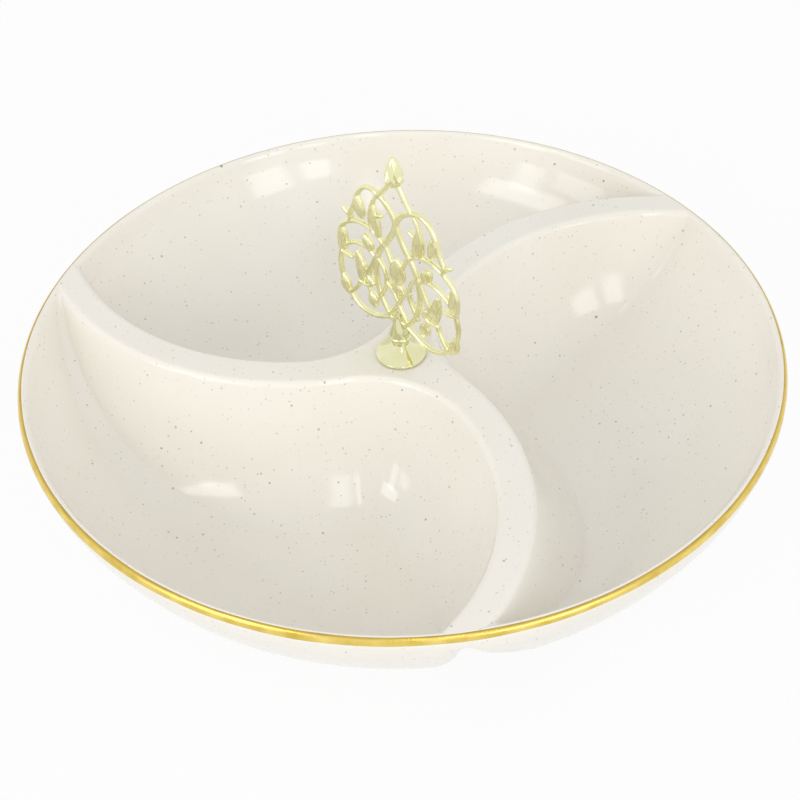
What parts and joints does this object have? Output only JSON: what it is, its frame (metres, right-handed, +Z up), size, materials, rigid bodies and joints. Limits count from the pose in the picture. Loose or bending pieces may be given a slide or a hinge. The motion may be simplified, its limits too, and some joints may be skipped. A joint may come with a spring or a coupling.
{
  "type": "divided serving bowl",
  "caption": "Round glazed serving bowl whose wells are parted by curved level crests that swirl out from a hub, with a gilt rim line and an upright openwork leaf finial as its handle.",
  "frame": {"origin": "on the table, under the middle of the hub", "axes": "+Z up along the fixing screw, +Y away from the viewer of the picture, +X to the right"},
  "size_m": [0.2509, 0.2508, 0.1257],
  "materials": {
    "glaze": "glossy, speckled",
    "gilding": "bright gold line",
    "polished_gold": "polished",
    "cast_gold": "satin cast",
    "seal": "matt silicone",
    "steel": "plain"
  },
  "bodies": {
    "bowl": {"bowl": "glaze", "rim_gilding": "gilding", "upper_seal": "seal", "lower_seal": "seal"},
    "finial": {"finial_foot": "polished_gold", "finial_spire": "polished_gold", "finial_leaf": "cast_gold", "steel_washer": "steel", "fixing_screw": "steel"}
  },
  "joints": [
    {"name": "finial_turn", "type": "hinge", "parent": "bowl", "child": "finial", "pos_m": [0, 0, 0.046], "axis": [0, 0, 1], "continuous": true}
  ]
}
